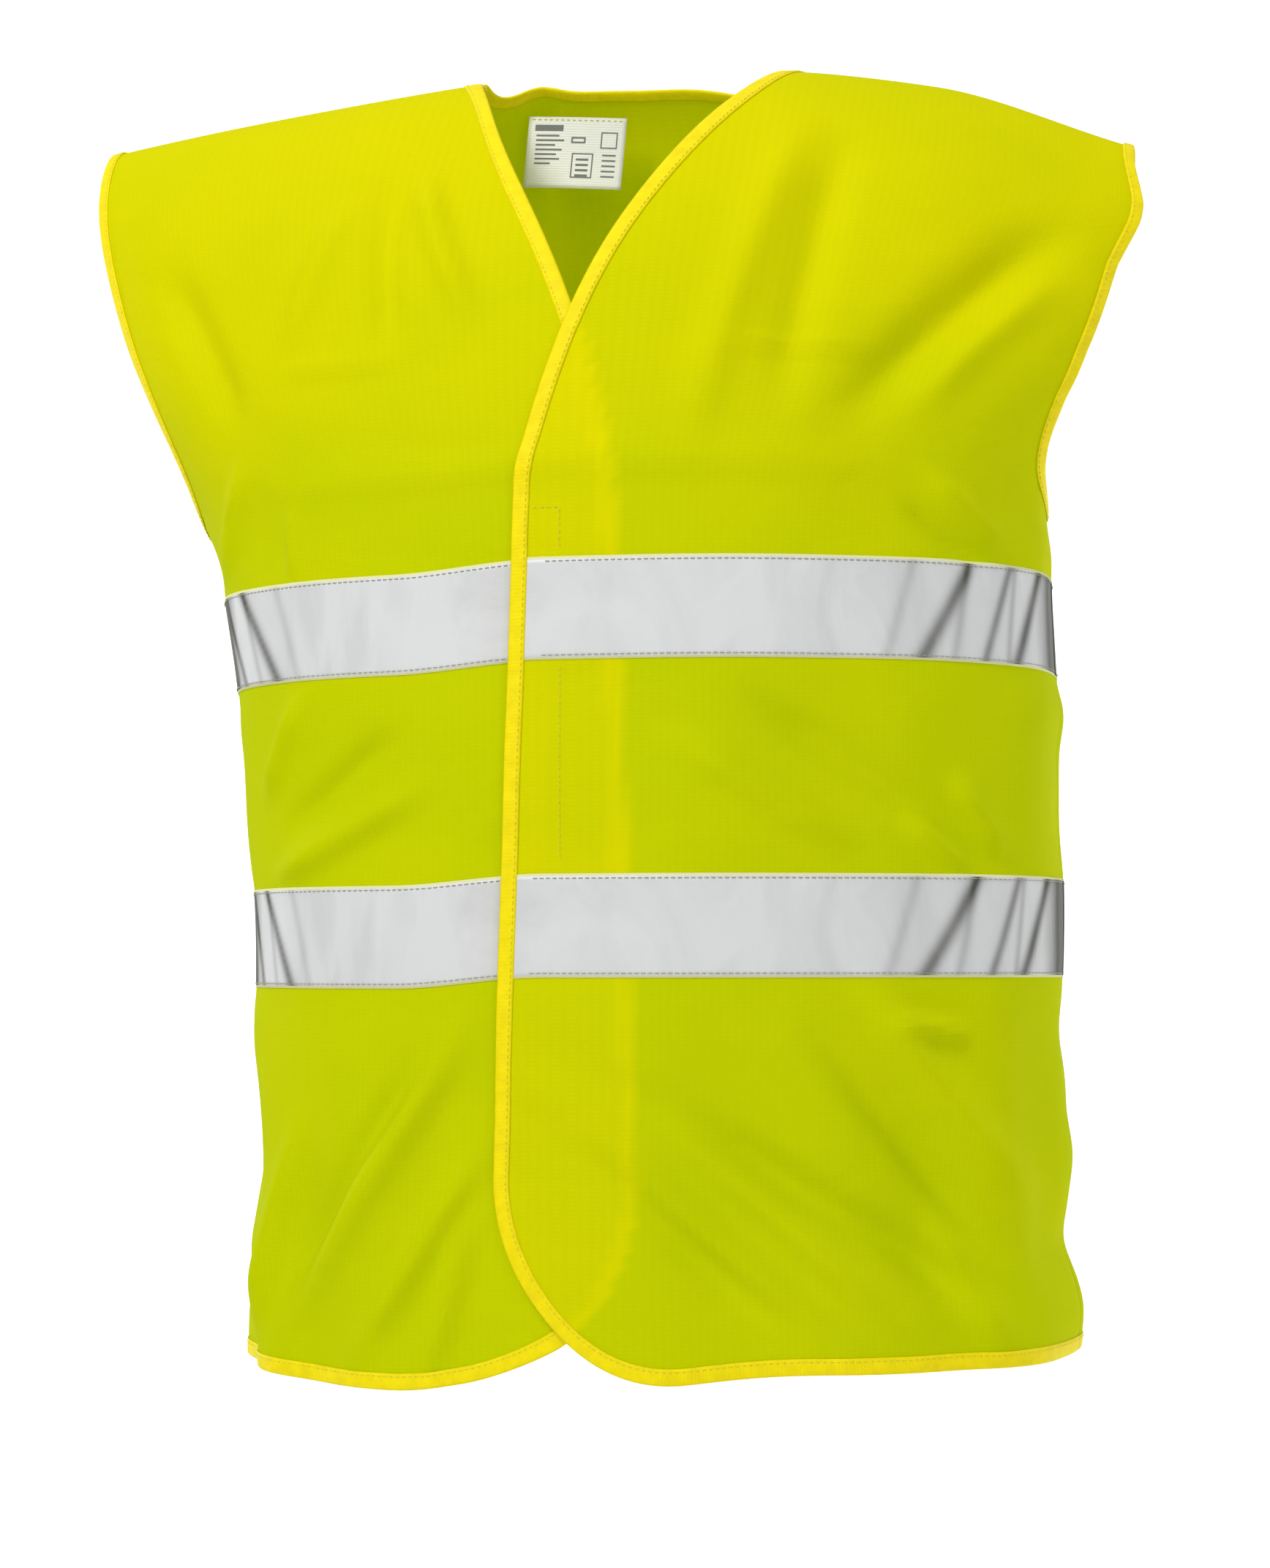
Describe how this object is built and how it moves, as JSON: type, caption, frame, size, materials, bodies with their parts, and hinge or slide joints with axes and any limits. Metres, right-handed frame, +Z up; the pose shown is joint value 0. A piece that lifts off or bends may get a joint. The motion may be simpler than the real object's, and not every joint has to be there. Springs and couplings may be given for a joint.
{
  "type": "high visibility vest",
  "caption": "Sleeveless front-opening high visibility vest with bound edges, reflective bands round the body, a hook-and-loop front and a care label in the neck.",
  "frame": {"origin": "between the two neck points, at the top of the shoulders, where the wearer's shoulders carry the vest", "axes": "+Z up, the front faces -Y, the wearer's left is +X"},
  "size_m": [0.5579, 0.2612, 0.6723],
  "materials": {
    "fluorescent_cloth": "fluorescent yellow warp-knit polyester",
    "edge_binding": "bright yellow folded polyester binding tape",
    "reflective_tape": "silver glass-bead retroreflective tape on a cloth backing",
    "hook_and_loop": "yellow nylon hook-and-loop strip",
    "overlock_thread": "overlocked seam allowance",
    "care_label": "white satin-weave label with grey print"
  },
  "bodies": {
    "vest": {"back_panel": "fluorescent_cloth", "neck_binding": "edge_binding", "hem_binding": "edge_binding", "left_side_seam": "overlock_thread", "right_side_seam": "overlock_thread", "left_shoulder_seam": "overlock_thread", "right_shoulder_seam": "overlock_thread", "left_armhole_binding": "edge_binding", "right_armhole_binding": "edge_binding", "left_front_side": "fluorescent_cloth", "right_front_side": "fluorescent_cloth", "lower_tape_back": "reflective_tape", "upper_tape_back": "reflective_tape", "lower_tape_left_side": "reflective_tape", "lower_tape_right_side": "reflective_tape", "upper_tape_left_side": "reflective_tape", "upper_tape_right_side": "reflective_tape"},
    "left_front": {"left_front_flap": "fluorescent_cloth", "left_front_binding": "edge_binding", "lower_tape_left_flap": "reflective_tape", "upper_tape_left_flap": "reflective_tape", "hook_strip": "hook_and_loop"},
    "right_front": {"right_front_flap": "fluorescent_cloth", "right_front_binding": "edge_binding", "lower_tape_right_flap": "reflective_tape", "upper_tape_right_flap": "reflective_tape", "loop_strip": "hook_and_loop"},
    "label": {"care_label": "care_label"}
  },
  "joints": [
    {"name": "left_front_open", "type": "hinge", "parent": "vest", "child": "left_front", "pos_m": [0.16, -0.1392, -0.655], "axis": [-0.2342, 0, 0.9722], "range_deg": [0, 120]},
    {"name": "right_front_open", "type": "hinge", "parent": "vest", "child": "right_front", "pos_m": [-0.16, -0.1392, -0.655], "axis": [0.2342, 0, 0.9722], "range_deg": [-36, 0]},
    {"name": "label_flip", "type": "hinge", "parent": "vest", "child": "label", "pos_m": [-0.0348, 0.0373, -0.0088], "axis": [-0.9969, 0, 0.0785], "range_deg": [0, 90]}
  ],
  "couplings": [
    {"joint": "right_front_open", "follows": "left_front_open", "ratio": -0.3}
  ]
}
